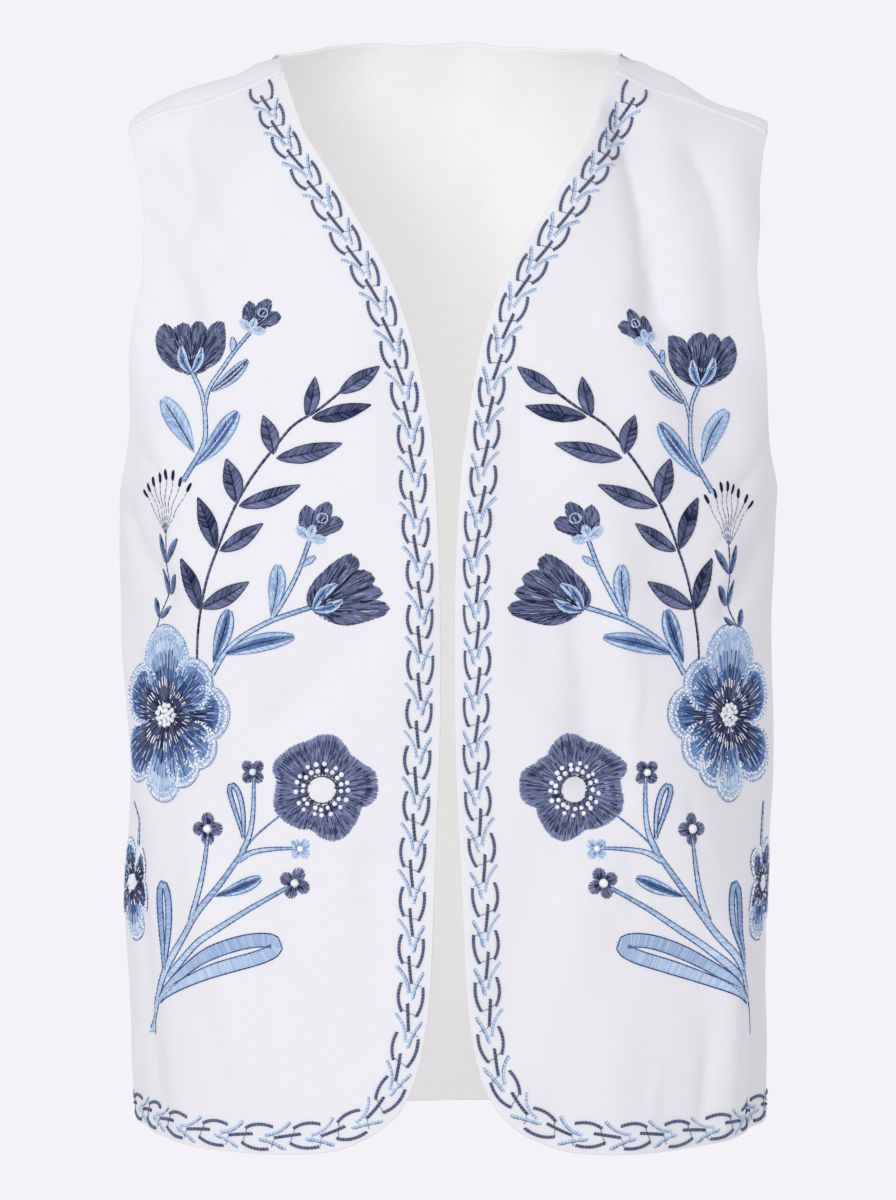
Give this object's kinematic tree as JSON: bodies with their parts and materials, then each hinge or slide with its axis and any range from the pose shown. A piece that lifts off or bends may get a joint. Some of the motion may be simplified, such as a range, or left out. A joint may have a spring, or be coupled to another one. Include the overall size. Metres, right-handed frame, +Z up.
{
  "type": "denim waistcoat",
  "caption": "Sleeveless collarless waistcoat in white denim, open down the front, with rounded fronts, a stitched chain border and blue flower embroidery.",
  "frame": {"origin": "Midway between the middles of the two shoulders, at shoulder height, where the waistcoat hangs from its wearer or hanger.", "axes": "+Z up, -Y towards the front, +X towards the wearer's left."},
  "size_m": [0.3592, 0.2241, 0.6004],
  "materials": {
    "denim_white": "matte",
    "thread_navy": "satin",
    "thread_blue": "satin",
    "thread_light_blue": "satin",
    "thread_white": "satin"
  },
  "bodies": {
    "root": {"front_right": "denim_white", "front_left": "denim_white", "back": "denim_white"}
  },
  "joints": []
}
